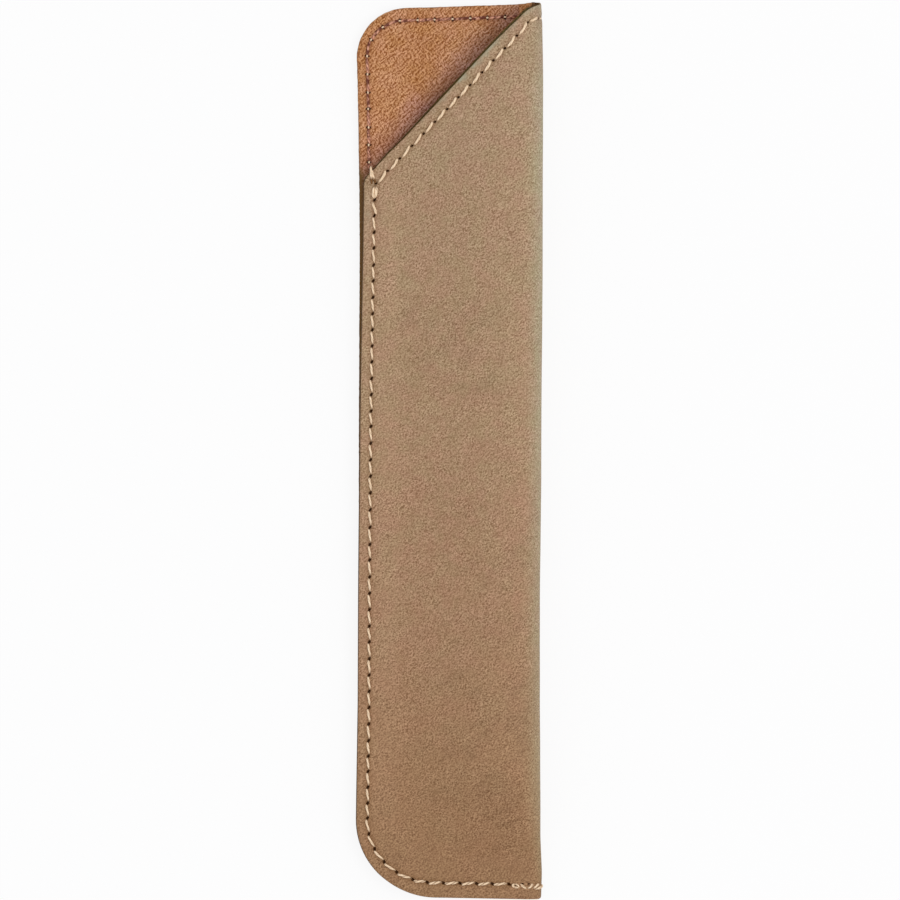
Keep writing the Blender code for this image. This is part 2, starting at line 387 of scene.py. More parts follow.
def rim_line():
    """The rim row: up the slanted mouth, over the fold, along the back's top and down its side."""
    us = np.linspace(row_start_u, wall_width, 3 * row_samples)
    centre_x = left_x + top_radius
    centre_y = top_line(centre_x) - top_radius
    top_x = samples(crown_open, centre_x)
    corner = corner_arc(centre_x, centre_y, top_radius, math.pi / 2, rim_side_inset, rim_inset)
    side_x = left_x + rim_side_inset
    end_y = float(top_edge(front_u(side_x, np.array(setback_start_y)))) + rim_end_gap
    side = (np.full(row_samples, side_x), samples(centre_y, end_y))
    back = wall_line(back_u, ((top_x, top_line(top_x) - rim_inset), corner, side))
    return np.concatenate([joined(us, mouth_row_y(us)), back])


class Row:
    """A row of stitches along a line on the sheet. The first that are kept have the given pitch, the
    rest end evenly before a short last one, and a lag moves those past the middle on."""

    def __init__(self, line, count=None, pitch=None, kept=0, last=0.0, lag=0.0):
        self.line = line
        self.lengths = lengths_along(skin(*line.T))
        even_end = self.lengths[-1] - last
        count = count or round(even_end / pitch)
        self.pitch = pitch or even_end / count
        places = np.arange(count + 1) * self.pitch
        places[kept:] = np.linspace(places[kept], even_end, count + 1 - kept)
        share = places / even_end
        places += lag * rise(share, *lag_start) * fade_out(share, *lag_end)
        places[1:-1] += np.random.default_rng(count).normal(0.0, pitch_waver, count - 1)
        self.places = np.append(places, self.lengths[-1]) if last else places

    def at(self, length):
        """(u, y) at lengths along the row."""
        return joined(*(np.interp(length, self.lengths, part) for part in self.line.T))

    def direction(self, length):
        return unit(self.at(length + self.pitch / 8) - self.at(length - self.pitch / 8))

    def leftward(self, length, out):
        """Unit steps to the row's left as it is seen: out is 1 on the outside, -1 on the inside."""
        return quarter(self.direction(length)) * -out

    def beside(self, length, aside, out):
        return self.at(length) + self.leftward(length, out) * np.asarray(aside)[..., None]


seam_front, seam_back = (
    Row(seam_line(wall_u), count=seam_stitches, lag=seam_lag) for wall_u in (front_u, back_u)
)
rim = Row(rim_line(), pitch=rim_pitch, kept=mouth_stitches, last=rim_last_stitch)


# Sheets: the flat sheet is meshed finely round its stitches and edges, then folded

hole_rings = ((0.0, 1), (0.45, 7), (0.8, 10), (1.0, 12), (1.35, 12))


class Pits:
    """Needle holes in one face: ovals at the places of rows, each row with half their length and
    width and their turn to the right. More holes come as a site and the two halves."""

    def __init__(self, out, depth, rows, more=(), last=None):
        holes = [
            (np.reshape(site, (1, 2)), np.array([[1.0, 0.0]]), np.array([[length, width]]))
            for site, length, width in more
        ]
        for row, length, width, turn in rows:
            places = row.places[:last]
            way, left = row.direction(places), row.leftward(places, out)
            turned = way * math.cos(turn) - left * math.sin(turn)
            holes.append((row.at(places), turned, np.tile([length, width], (len(way), 1))))
        self.centres, self.ways, self.sizes = (np.concatenate(values) for values in zip(*holes))
        self.depth = depth

    def ring_points(self):
        points = []
        sides = quarter(self.ways)
        for share, count in hole_rings:
            for k in range(count):
                turn = 2 * math.pi * (k + 0.5 * (count % 2)) / count
                forward = self.sizes[:, :1] * share * math.cos(turn)
                aside = self.sizes[:, 1:] * share * math.sin(turn)
                points.append(self.centres + self.ways * forward + sides * aside)
        return np.concatenate(points)

    def reach(self, sites):
        """Distance of each site from its nearest hole, as a share of the oval."""
        near = nearest(self.centres, sites)[0]
        offset = sites - self.centres[near]
        way = self.ways[near]
        forward = (offset * way).sum(1) / self.sizes[near, 0]
        aside = (offset[:, 1] * way[:, 0] - offset[:, 0] * way[:, 1]) / self.sizes[near, 1]
        return np.hypot(forward, aside)


def nearest(places, sites):
    """For each site, the index of the nearest place and its distance."""
    tree = KDTree(len(places))
    for index, (u, y) in enumerate(places):
        tree.insert((u, y, 0.0), index)
    tree.balance()
    _, index, distance = zip(*(tree.find((u, y, 0.0)) for u, y in sites))
    return np.array(index), np.array(distance)


def row_distance(sites, rows):
    """Distance of each site from the nearest of the rows."""
    dense = [row.at(np.arange(0.0, row.places[-1], row.pitch / 20)) for row in rows]
    return nearest(np.concatenate(dense), sites)[1]


def inward(loop):
    """Unit steps into the sheet from each point of its outline."""
    return quarter(unit(np.roll(loop, -1, axis=0) - np.roll(loop, 1, axis=0)))


edge_rows = (0.00008, 0.00022, 0.00045, 0.0008)
row_sides = (0.0, 0.00028, -0.00028, 0.00058, -0.00058, 0.00095, -0.00095)
row_side_step = 0.0004
plain_step = 0.00085
plain_row_step = 0.87       # from one row of plain points to the next, in plain steps
plain_jitter, plain_apart = plain_step / 30, 0.6 * plain_step
edge_apart, ring_apart, row_apart = 0.00003, 0.00005, 0.00018


def inside_sheet(sites, margin):
    u, y = sites.T
    held = np.clip(u, 0.0, sheet_width)
    within = (u > margin) & (u < sheet_width - margin)
    return within & (y < top_edge(held) - margin) & (y > bottom_edge(held) + margin)


class Spread:
    """Collects points, and leaves out any that is too near one it already has."""

    def __init__(self):
        self.cells = {}
        self.points = []

    def add(self, sites, apart):
        for u, y in sites:
            i, j = int(u // plain_step), int(y // plain_step)
            around = [(i + across, j + along) for across in (-1, 0, 1) for along in (-1, 0, 1)]
            near = (point for cell in around for point in self.cells.get(cell, ()))
            if all((u - p) ** 2 + (y - q) ** 2 >= apart ** 2 for p, q in near):
                self.cells.setdefault((i, j), []).append((u, y))
                self.points.append((u, y))


def sheet_mesh_sites(rows, pits, seed):
    """Mesh points on the flat sheet, with its outline first, and the triangles between them."""
    loop = outline()
    spread = Spread()
    spread.add(loop, 0.0)
    for distance in edge_rows:
        spread.add(loop + inward(loop) * distance, 0.5 * distance + edge_apart)
    rings = pits.ring_points()
    spread.add(rings[inside_sheet(rings, edge_rows[0])], ring_apart)
    for row in rows:
        lengths = np.arange(0.0, row.places[-1], row_side_step)
        for aside in row_sides:
            spread.add(row.beside(lengths, aside, 1), row_apart)
    us = np.arange(0.0, sheet_width, plain_step)
    ys = np.arange(-case_length / 2, case_length / 2, plain_step * plain_row_step)
    grid = joined(*np.meshgrid(us, ys))
    grid[1::2, :, 0] += plain_step / 2
    jitter = np.random.default_rng(seed).normal(0.0, plain_jitter, (grid.size // 2, 2))
    grid = grid.reshape(-1, 2) + jitter
    spread.add(grid[inside_sheet(grid, plain_step / 2)], plain_apart)
    sites = np.array(spread.points)
    edges = [(k, (k + 1) % len(loop)) for k in range(len(loop))]
    scale = 1000.0
    made = delaunay_2d_cdt([Vector((u * scale, y * scale)) for u, y in sites], edges, [], 1, 1e-7)
    points = np.array([[v.x / scale, v.y / scale] for v in made[0]])
    triangles = np.array(made[2])
    a, b, c = (points[triangles[:, k]] for k in range(3))
    (b_u, b_y), (c_u, c_y) = (b - a).T, (c - a).T
    area = b_u * c_y - b_y * c_u
    triangles[area > 0] = triangles[area > 0][:, ::-1]
    return points, triangles


def undulation(sites, size, seed):
    """Slow hollows and swells over the sheet, from a few waves of unlike lengths."""
    draw = np.random.default_rng(seed)
    height = np.zeros(len(sites))
    for wave in (0.045, 0.027, 0.016, 0.010):
        for _ in range(3):
            turn, phase = draw.uniform(0.0, 2 * math.pi, 2)
            along = sites[:, 0] * math.cos(turn) + sites[:, 1] * math.sin(turn)
            height += wave * np.sin(2 * math.pi * along / wave + phase)
    return size * height / np.abs(height).max()


def boundary_edges(triangles):
    """Each boundary edge of the triangles, in the direction that its triangle has it."""
    seen = {edge: True for a, b, c in triangles for edge in ((a, b), (b, c), (c, a))}
    return [edge for edge in seen if edge[::-1] not in seen]


def add_object(name, data):
    made = bpy.data.objects.new(name, data)
    bpy.context.scene.collection.objects.link(made)
    return made


def add_mesh(name, points, faces, values, sharp_angle):
    """A smooth mesh object with values at its points, by name."""
    mesh = bpy.data.meshes.new(name)
    mesh.from_pydata(points.tolist(), [], faces)
    for key, value in values.items():
        mesh.attributes.new(key, "FLOAT", "POINT").data.foreach_set("value", value)
    mesh.shade_smooth()
    mesh.set_sharp_from_angle(angle=math.radians(sharp_angle))
    return add_object(name, mesh)


def fold_lean(u):
    """How far the sheet leans over on the fold's upper half: 0 on the front, 1 at the far right."""
    return np.cos(np.maximum(fold_angle(u), 0.0))


def fall(loop):
    """How steeply the front falls outwards at each point of the outline, and 0 elsewhere."""
    inside = loop + inward(loop) * normal_step
    step = skin(*inside.T) - skin(*loop.T)
    steepness = step[:, 2] / np.hypot(step[:, 0], step[:, 1])
    return np.where(loop[:, 0] > wall_width + fold_length, np.clip(steepness, 0.0, 1.0), 0.0)


# How far each sheet's faces stop short of the outline. A pair is where along y a change starts, and
# over what length

mouth_low_cut, mouth_cut, mouth_high_cut = 0.00031, 0.00039, 0.00050
bottom_cut, low_side_cut, side_cut, hidden_cut = 0.00003, 0.00013, 0.00019, 0.00008
mouth_retreat, lining_lip, loose_fibre = 0.00017, 0.00014, 0.00005
lean_cut, cut_reach = 0.50, 0.0024
mouth_foot, mouth_middle, mouth_top = (0.0455, 0.0015), (0.0480, 0.0080), (0.0690, 0.0050)
lip_start, upper_side, bottom_end = (0.066, 0.004), (-0.030, 0.030), (-0.0765, 0.012)


def at_mouth(sites):
    """1 on the front above the mouth's foot, and 0 elsewhere."""
    return rise(sites[:, 1], *mouth_foot) * (sites[:, 0] > sheet_width / 2)


def upright(loop):
    """How far inwards an upright cut runs at each point of the outline, as a share of its depth."""
    return lean_cut * fold_lean(loop[:, 0]) - fall(loop)


def cover_cuts(loop):
    """How far the cover's outer and inner face stop short of each point of its outline."""
    u, y = loop.T
    side = mix(low_side_cut, side_cut, rise(y, *upper_side))
    side = mix(bottom_cut, side, rise(y, *bottom_end))
    mouth = mix(mouth_cut, mouth_high_cut, rise(y, *mouth_top))
    mouth = mix(mouth_low_cut, mouth, rise(y, *mouth_middle))
    on_front = cover_thickness * upright(loop) + mouth_retreat * at_mouth(loop)
    inner = np.where(u > sheet_width / 2, on_front, hidden_cut)
    return mix(side, mouth, at_mouth(loop)), inner


def lining_cuts(loop):
    """The same for the lining, whose shown face ends in loose fibres."""
    u, y = loop.T
    loose = np.abs(np.random.default_rng(21).normal(0.0, loose_fibre, len(u)))
    retreat = (mouth_retreat - lining_lip * rise(y, *lip_start)) * at_mouth(loop)
    outer = np.where(u > sheet_width / 2, lining_start * upright(loop), hidden_cut / 2)
    inner = np.where(u > sheet_width / 2, lining_face * upright(loop), 0.0) + loose
    return outer + retreat, inner + retreat


# Where the faces change their look. A pair is a start or an end and a length, a bell's middle and
# width, or two shares

# Where the painted sheen along the fold starts, ends and weakens
strip_rise, strip_fade = (0.42, 0.16), (1.0, 0.40)
strip_foot, strip_top = (-0.0754, 0.0036), (0.060, 0.008)
closed_strip, top_strip_loss = 0.7, 0.5
# The painted highlight on the mouth's rolled edge, and the rubbed spots at its lower end
shine_line, shine_shares, shine_fold_share = (0.00024, 0.00033), (0.45, 0.55), 0.55
shine_start, high_start, high_end = (0.054, 0.004), (0.0600, 0.003), (0.0715, 0.003)
rubbed_line, rubbed_spots = (0.0008, 0.0006), ((0.2, 0.0400, 0.0050), (0.6, 0.0397, 0.0013))
rubbed_top, rubbed_width = 0.0460, 0.003
# The painted shadow on the suede under the mouth's edge, and its painted mauve tint
shelter_reach, shelter_least, shelter_fade = 0.0045, 0.35, (0.0570, 0.0096)
dusk_start = (0.0560, 0.0090)
burnt_width, burnt_shares, burnt_fade = 0.00028, (0.55, 0.20), (0.050, 0.010)
# Where the suede is shut in below the mouth: squeezed and in painted shade
shut_end, shut_shade_and_squeeze, shut_reach = (0.0470, 0.0025), 0.9, 0.0012


def painted_fold_sheen(sites):
    """1 along the fold, where a painted sheen lightens the face as it curves away, and 0 away from it."""
    share, y = (sites[:, 0] - wall_width) / fold_length, sites[:, 1]
    strip = rise(share, *strip_rise) * fade_out(share, *strip_fade)
    strip *= mix(closed_strip, 1.0, opened(y)) * (1.0 - top_strip_loss * rise(y, *strip_top))
    return strip * rise(y, *strip_foot)


def mouth_highlight_and_rubbing(sites, edge):
    """1 for a painted highlight on the rolled edge of the mouth's upper half, and less in rubbed spots at
    its lower end.
    """
    u, y = sites.T
    high_part = rise(y, *high_start) * fade_out(y, *high_end)
    along = shine_shares[0] * rise(y, *shine_start) + shine_shares[1] * high_part
    rubbed = sum(strength * bell(y, middle, width) for strength, middle, width in rubbed_spots)
    rubbed = rubbed * bell(edge, *rubbed_line) * (y < rubbed_top)
    shine = bell(edge, *shine_line) * along + rubbed * (u > sheet_width - rubbed_width)
    return np.where(u > wall_width + shine_fold_share * fold_length, shine, 0.0)


def mouth_nearness(sites):
    """1 on the back right under the front's mouth edge, and 0 well above it."""
    u, y = sites.T
    x = mix(left_x, crown_x(y), np.clip(u / wall_width, 0.0, 1.0))
    above = (y - top_edge(front_u(x, y))) * math.cos(mouth_angle)
    return np.where(u < wall_width, 1.0 - np.clip(above / shelter_reach, 0.0, 1.0), 0.0)


def scorched_and_shaded(sites, edge):
    """How dark the suede is: browned along its cut edges, and squeezed and in painted shade where it is
    shut in below the mouth.
    """
    y = sites[:, 1]
    on_back = mix(*burnt_shares, rise(y, *burnt_fade))
    rim_burn = np.where(sites[:, 0] > sheet_width / 2, 1.0, on_back) * bell(edge, 0.0, burnt_width)
    shut = 1.0 - rise(y, *shut_end)
    return np.clip(rim_burn + shut_shade_and_squeeze * shut * np.exp(-((edge / shut_reach) ** 4)), 0.0, 1.0)


edge_round, edge_sink = 0.00042, 0.6
# A furrow's width, and how far painted shade spreads from it; a pit's wall, and how far painted shade
# fills its hole
furrow_width, furrow_stain_width = 0.00045, 0.00055
pit_wall, hole_stain = (0.35, 0.65), (0.55, 0.6)    # in shares of a hole's oval
swell = 0.00006
least_part = 5              # a sheet keeps a fifth of its thickness everywhere
sheet_sharp_angle = 50


class Sheet:
    """A solid sheet under the skin. Its shown face has holes, furrows and a worn, sloping edge."""

    def __init__(self, depth, thickness, out, rows, pits, furrow, cuts, seed):
        self.sites, self.triangles = sheet_mesh_sites(rows, pits, seed)
        loop = outline()
        near, self.edge = nearest(loop, self.sites)
        self.hole = pits.reach(self.sites)
        self.from_row = row_distance(self.sites, rows)
        sunk = furrow * bell(self.from_row, 0.0, furrow_width)
        sunk += pits.depth * (1.0 - rise(self.hole, *pit_wall))
        bend = np.clip(1.0 - self.edge / edge_round, 0.0, 1.0)
        sunk += edge_round * edge_sink * (1.0 - np.sqrt(1.0 - bend ** 2))
        sunk += undulation(self.sites, swell, seed + 1)
        if out > 0:
            outer_depth = depth + sunk
            inner_depth = np.maximum(depth + thickness, outer_depth + thickness / least_part)
        else:
            inner_depth = depth + thickness - sunk
            outer_depth = np.minimum(depth, inner_depth - thickness / least_part)
        short = np.clip(1.0 - self.edge / cut_reach, 0.0, 1.0)[:, None]
        faces = []
        for cut, deep in zip(cuts(loop), (outer_depth, inner_depth)):
            places = self.sites + inward(loop)[near] * (cut[near, None] * short)
            faces.append(skin(*places.T) - skin_normal(*places.T) * deep[:, None])
        self.points = np.concatenate(faces)

    def make(self, name, values):
        count, rim_start = len(self.sites), 2 * len(self.triangles)
        faces = self.triangles.tolist() + (self.triangles[:, [0, 2, 1]] + count).tolist()
        for start, end in boundary_edges(self.triangles.tolist()):
            faces.append((end, start, start + count, end + count))
        # painted shade in the needle holes and along the stitch furrows
        values["hole"] = 1.0 - rise(self.hole, *hole_stain)
        values["furrow"] = bell(self.from_row, 0.0, furrow_stain_width)
        values["mouth"] = at_mouth(self.sites)
        both = {key: np.tile(value, 2) for key, value in values.items()}
        sheet = add_mesh(name, self.points, faces, both, sheet_sharp_angle)
        for face in sheet.data.polygons[rim_start:]:
            face.material_index = 1
        return sheet


# Stitches: thread of two twisted plies, swept from hole to hole

thread_sides, stitch_rings = 14, 26
twist_length = 0.0024
ply_depth, ply_power = 0.36, 0.75
start_power, end_power = 9, 16      # how sharply a stitch comes up and dives
thin_start, thin_end = (0.0, 0.4), (0.85, 0.15)
size_waver, slant_waver = 0.05, 0.12
bow_power = 1.4
fold_sink = 1.6
thread_sharp_angle = 80


class Stitcher:
    """Gathers lengths of one thread into one mesh."""

    def __init__(self, radius, seed):
        self.radius = radius
        self.points, self.faces, self.runs, self.plies = [], [], [], []
        self.draw = np.random.default_rng(seed)

    def sweep(self, centres, normals, radii, twisted, soiled, stain):
        """A twisted thread along centres, closed at both ends. Its start is painted dark, for shade and
        some
        soiling where it comes up: an exponent above 1 draws that dark start out, and a depth darkens it
        more."""
        ahead = unit(np.gradient(centres, axis=0))
        side = unit(np.cross(normals, ahead))
        up = np.cross(ahead, side)
        twist = self.draw.uniform(0.0, 6.0) - 2 * math.pi * lengths_along(centres) / twist_length
        turn = 2 * math.pi * np.arange(thread_sides) / thread_sides
        ridge = np.abs(np.cos(turn - twist[:, None])) ** ply_power
        reach = radii[:, None] * (1.0 - ply_depth * twisted * (1.0 - ridge))
        points = (
            centres[:, None]
            + side[:, None] * (reach * np.cos(turn))[:, :, None]
            + up[:, None] * (reach * np.sin(turn))[:, :, None]
        ).reshape(-1, 3)
        here = sum(map(len, self.points)) + np.arange(len(points)).reshape(-1, thread_sides)
        beside = np.roll(here, -1, axis=1)
        quads = np.stack([here[:-1], beside[:-1], beside[1:], here[1:]], axis=-1)
        self.faces += quads.reshape(-1, 4).tolist() + [here[0, ::-1].tolist(), here[-1].tolist()]
        self.points.append(points)
        run = shares(len(centres))
        self.runs.append(np.repeat(run ** soiled - stain * (1.0 - run) ** 3, thread_sides))
        self.plies.append(1.0 - twisted * (1.0 - ridge.ravel()))

    def stitch(self, sites, face=0.0, out=1, lift=0.45, plunges=(0.00042, 0.00042), thin=0.35,
               twisted=0.6, sink=fold_sink, size=1.0, soiled=1.0, stain=0.0):
        """One stitch through sites (u, y), on the face at that depth, and lifted off it by a share of
        its radius. It comes up gently at its start and dives at its end."""
        t = shares(len(sites))
        up, down = (1.0 - t) ** start_power, t ** end_power
        base, normal = skin(*sites.T), skin_normal(*sites.T)
        crown = self.radius * lift - self.radius * sink * (1.0 - np.abs(normal[:, 2]))
        height = crown - (plunges[0] + crown) * up - (plunges[1] + crown) * down
        centres = base + normal * (height * out - face)[:, None]
        width = 1.0 - thin * (1.0 - rise(t, *thin_start)) - 0.5 * thin * rise(t, *thin_end)
        width *= size * self.radius * self.draw.uniform(1.0 - size_waver, 1.0 + size_waver)
        self.sweep(centres, normal * out, width, twisted, soiled, stain)

    def between_holes(self, row, k, tip, aside, turned=False, out=1, **style):
        """The row's stitch k, to the left of the row by a function of its run, or turned about."""
        t = shares(stitch_rings)[::-1 if turned else 1]
        lengths = mix(row.places[k] + tip, row.places[k + 1] - tip, t)
        self.stitch(row.beside(lengths, aside(t), out), out=out, **style)

    def row(self, row, tip, slant, bow=0.0, first=0, last=None, **style):
        """The row's stitches, each from right to left with a bow to the right between its holes."""
        for k in range(len(row.places) - 1)[first:last]:
            share = slant * self.draw.normal(1.0, slant_waver)
            self.between_holes(
                row, k, tip,
                lambda t: share * (2 * t - 1.0) - bow * np.sin(math.pi * t ** bow_power), **style
            )

    def make(self, name):
        values = {"run": np.concatenate(self.runs), "ply": np.concatenate(self.plies)}
        points = np.concatenate(self.points)
        return add_mesh(name, points, self.faces, values, thread_sharp_angle)


def front_place(from_fold, from_bottom):
    """A place on the front near the fold's bottom end, on the flat sheet."""
    x = fold_x - from_fold
    y = bottom_line(x) + from_bottom
    return np.array([float(front_u(x, y)), y])


def bulging(start, end, bulge):
    """Sites from one site to another, bulging to the left as one sees the outside."""
    t = shares(stitch_rings)[:, None]
    return mix(start, end, t) - quarter(unit(end - start)) * bulge * np.sin(math.pi * t)


# Materials


def srgb(red, green, blue):
    """A colour from 0 to 255 as light, for a shader."""
    return tuple((value / 255) ** 2.2 for value in (red, green, blue)) + (1.0,)


class Finish:
    """A material with a Principled shader, and short names for its nodes."""

    def __init__(self, name, roughness, specular=0.4):
        self.material = bpy.data.materials.new(name)
        self.material.use_nodes = True
        self.tree = self.material.node_tree
        self.shader = self.tree.nodes["Principled BSDF"]
        self.shader.inputs["Roughness"].default_value = roughness
        self.shader.inputs["Specular IOR Level"].default_value = specular
        self.place = self.node("TexCoord")["Object"]

    def node(self, kind, sockets=(), **values):
        """The outputs of a new node, with its sockets by name or number, and its properties."""
        made = self.tree.nodes.new("ShaderNode" + kind)
        for name, value in values.items():
            setattr(made, name, value)
        for socket, value in sockets:
            self.fill(made.inputs[socket], value)
        return made.outputs

    def fill(self, socket, value):
        """Gives a socket a value, or a link from another."""
        if isinstance(value, bpy.types.NodeSocket):
            self.tree.links.new(value, socket)
        else:
            socket.default_value = value

    def along(self):
        """The place along the sleeve."""
        return self.node("SeparateXYZ", ((0, self.place),))["Y"]

    def drawn_out(self, factor, turn, shift=0.0):
        """Coordinates that draw a texture out along an axis turned from +Y, shifted square to it."""
        return self.node("Mapping", (
            ("Location", (shift * math.cos(turn), shift * math.sin(turn), 0.0)),
            ("Scale", (1.0, factor, 1.0)), ("Rotation", (0.0, 0.0, turn)), ("Vector", self.place),
        ), vector_type="TEXTURE")["Vector"]

    def noise(self, scale, detail=2.0, roughness=0.5, warp=0.0, vector=None):
        return self.node("TexNoise", (
            ("Scale", scale), ("Detail", detail), ("Roughness", roughness), ("Distortion", warp),
            ("Vector", vector or self.place),
        ))["Fac"]

    def patches(self, scale, low_out=0.0, high_out=1.0, low_in=0.35, high_in=0.65, detail=2.0,
                roughness=0.5):
        """A noise as soft-edged patches between two values."""
        return self.spread(self.noise(scale, detail, roughness), low_in, high_in, low_out, high_out)

    def strokes(self, scale, warp, factor, turn, step):
        """Strokes along an axis turned from +Y, each with a painted highlight on one side and painted
        shade on the other.
        """
        sides = [
            self.noise(scale, 0.0, 0.5, warp, self.drawn_out(factor, turn, side * step))
            for side in (1.0, -1.0)
        ]
        return self.maths("SUBTRACT", *sides)

    def value(self, name):
        return self.node("Attribute", attribute_name=name)["Fac"]

    def spread(self, source, low_in, high_in, low_out=0.0, high_out=1.0):
        return self.node("MapRange", (
            ("From Min", low_in), ("From Max", high_in), ("To Min", low_out), ("To Max", high_out),
            ("Value", source),
        ), clamp=True)["Result"]

    def maths(self, operation, first, second):
        return self.node("Math", ((0, first), (1, second)), operation=operation)["Value"]

    def times(self, first, second):
        return self.maths("MULTIPLY", first, second)

    def blend(self, share, first, second, kind="MIX"):
        sockets = ((0, share), (6, first), (7, second))
        return self.node("Mix", sockets, data_type="RGBA", blend_type=kind)[2]

    def paint(self, share, colour, strength=1.0):
        """Covers the base colour, by a share, which may be a named value of the mesh."""
        share = self.value(share) if isinstance(share, str) else share
        share = share if strength == 1.0 else self.times(share, strength)
        self.base = self.blend(share, self.base, colour)

    def tint(self, share, factor, strength=1.0):
        """Multiplies the base colour by a factor for red, green and blue, by a share."""
        tinted = self.blend(1.0, self.base, factor + (1.0,), "MULTIPLY")
        self.paint(share, tinted, strength)

    def fleck(self, share, mean, change, strength):
        """Darkens the base colour at a share of 0 or lightens it at 1, as much in all channels."""
        dark, light = (
            tuple((max(value + step, 1) / value) ** 2.2 for value in mean) + (1.0,)
            for step in (-change, change)
        )
        factor = self.blend(strength, (1.0,) * 4, self.blend(share, dark, light))
        self.base = self.blend(1.0, self.base, factor, "MULTIPLY")

    def ramp(self, share, stops):
        colours = self.node("ValToRGB", (("Fac", share),))["Color"]
        elements = colours.node.color_ramp.elements
        while len(elements) < len(stops):
            elements.new(0.5)
        for element, (place, colour) in zip(elements, stops):
            element.position = place
            element.color = colour
        return colours

    def finished(self, bumps):
        """The material, with its base colour and a stack of bumps, each a height and a depth."""
        self.fill(self.shader.inputs["Base Color"], self.base)
        normal = None
        for height, depth in bumps:
            below = (("Normal", normal),) if normal else ()
            normal = self.node("Bump", (("Distance", depth), ("Height", height), *below))["Normal"]
        self.fill(self.shader.inputs["Normal"], normal)
        return self.material


def leatherette_finish():
    """Light brown leatherette: finely grained and mottled, with painted emboss shading, warmer towards the
    bottom, with a painted sheen on the fold.
    """
    look = Finish("leatherette", 0.62, 0.2)
    along = look.spread(look.along(), -0.5 * case_length, 0.5 * case_length)
    look.base = look.ramp(along, (
        (0.03, srgb(144, 110, 77)), (0.15, srgb(151, 117, 84)), (0.30, srgb(156, 124, 92)),
        (0.60, srgb(160, 133, 100)), (0.95, srgb(161, 135, 103)),
    ))
    look.tint(look.patches(150.0), (1.02, 0.94, 0.95), 0.45)
    pinkish = look.patches(260.0, low_in=0.38, high_in=0.62, detail=3.0, roughness=0.6)
    look.tint(look.times(pinkish, look.spread(along, 0.15, 0.40, 0.2, 0.7)), (1.06, 0.94, 1.03))
    # painted emboss shade from the strokes, mixed into the random mottling
    strokes = look.strokes(3000.0, 0.3, 1.3, math.radians(-45), 0.00007)
    grain_and_emboss_shade = look.maths("ADD", look.noise(3900.0, 1.0, 0.5, 0.4), look.times(strokes, 0.40))
    crisp = look.patches(330.0, 0.65, 1.0)
    look.fleck(look.spread(grain_and_emboss_shade, 0.30, 0.70), (165, 134, 107), 34, crisp)
    streaks = look.noise(420.0, 3.0, 0.6, 0.6, look.drawn_out(3.0, math.radians(-50)))
    # painted shade in the diagonal creases, over their bump
    crease_shade = look.times(look.spread(streaks, 0.45, 0.62), look.patches(60.0, low_in=0.5))
    look.tint(crease_shade, (0.62, 0.60, 0.56), 0.25)
    # painted sheen along the fold
    look.tint("fold", (1.17, 1.50, 1.62), 0.90)
    # the painted highlight on the mouth's edge and its rubbed spots, broken into patches
    worn = look.patches(450.0, 0.20, 1.0, 0.40, 0.60)
    look.paint(look.times(look.value("shine"), worn), srgb(168, 166, 140))
    # painted shade in the stitch furrows and needle holes
    look.paint("furrow", srgb(104, 70, 30), 0.30)
    look.paint("hole", srgb(84, 48, 10))
    look.fill(look.shader.inputs["Roughness"], look.spread(grain_and_emboss_shade, 0.3, 0.7, 0.54, 0.72))
    return look.finished(((streaks, 0.00008), (grain_and_emboss_shade, 0.00006)))


def suede_finish():
    """Brushed suede cloth: short fibres that lie mostly one way, each with a painted highlight on one side
    and painted shade on the other.
    """
    look = Finish("suede", 0.95, 0.1)
    nap = look.patches(230.0, detail=3.0, roughness=0.6)
    look.base = look.blend(nap, srgb(169, 113, 71), srgb(182, 127, 90))
    look.tint(look.patches(340.0, 0.0, 0.5), (0.99, 1.03, 0.84))
    # painted emboss shade: each stroke light on one side and dark on the other, with specks of random tone
    first = look.strokes(2850.0, 0.6, 2.1, math.radians(-46), 0.00008)
    second = look.strokes(2900.0, 0.8, 1.8, math.radians(31), 0.00008)
    specks = look.maths("SUBTRACT", look.noise(3900.0, 1.0, 0.5, 0.6), 0.5)
    fibres = look.maths("ADD", first, look.times(second, 0.75))
    fibres = look.maths("ADD", fibres, look.times(specks, 0.35))
    clumps = look.patches(520.0, 0.75, 1.0)
    look.fleck(look.spread(fibres, -0.25, 0.25), (178, 123, 86), 42, clumps)
    # painted shadow under the front's mouth edge
    shades = look.ramp(look.value("shelter"), (
        (0.0, (1.0,) * 4), (0.10, (0.99, 0.98, 1.02, 1.0)), (0.31, (0.90, 0.88, 1.0, 1.0)),
        (0.54, (0.83, 0.80, 0.96, 1.0)), (0.69, (0.80, 0.78, 1.0, 1.0)),
        (0.80, (0.74, 0.73, 0.98, 1.0)), (1.0, (0.74, 0.76, 1.04, 1.0)),
    ))
    look.base = look.blend(1.0, look.base, shades, "MULTIPLY")
    # painted mauve tint in that shadow, towards the fold
    look.tint("dusk", (1.04, 1.17, 1.50))
    # painted shade along the stitch furrow
    look.paint("furrow", srgb(122, 66, 50), 0.18)
    # browned cut edges, and painted shade where the suede is shut in below the mouth
    look.paint("burnt_and_shade", srgb(106, 80, 48))
    # painted shade in the needle holes
    look.paint("hole", srgb(58, 28, 20))
    return look.finished(((nap, 0.00003), (fibres, 0.00003)))


def core_finish(name, dark, pale):
    """The cut edge of a sheet, browned by the cutter, and greener along the front's mouth."""
    look = Finish(name, 0.85, 0.2)
    threads = look.noise(2400.0, 3.0, 0.7)
    look.base = look.blend(look.spread(threads, 0.35, 0.65), dark, pale)
    below_tip = look.spread(look.along(), 0.0762, 0.0768, 1.0, 0.0)
    look.tint(look.times(look.value("mouth"), below_tip), (0.74, 1.10, 0.75))
    return look.finished(((threads, 0.00012),))


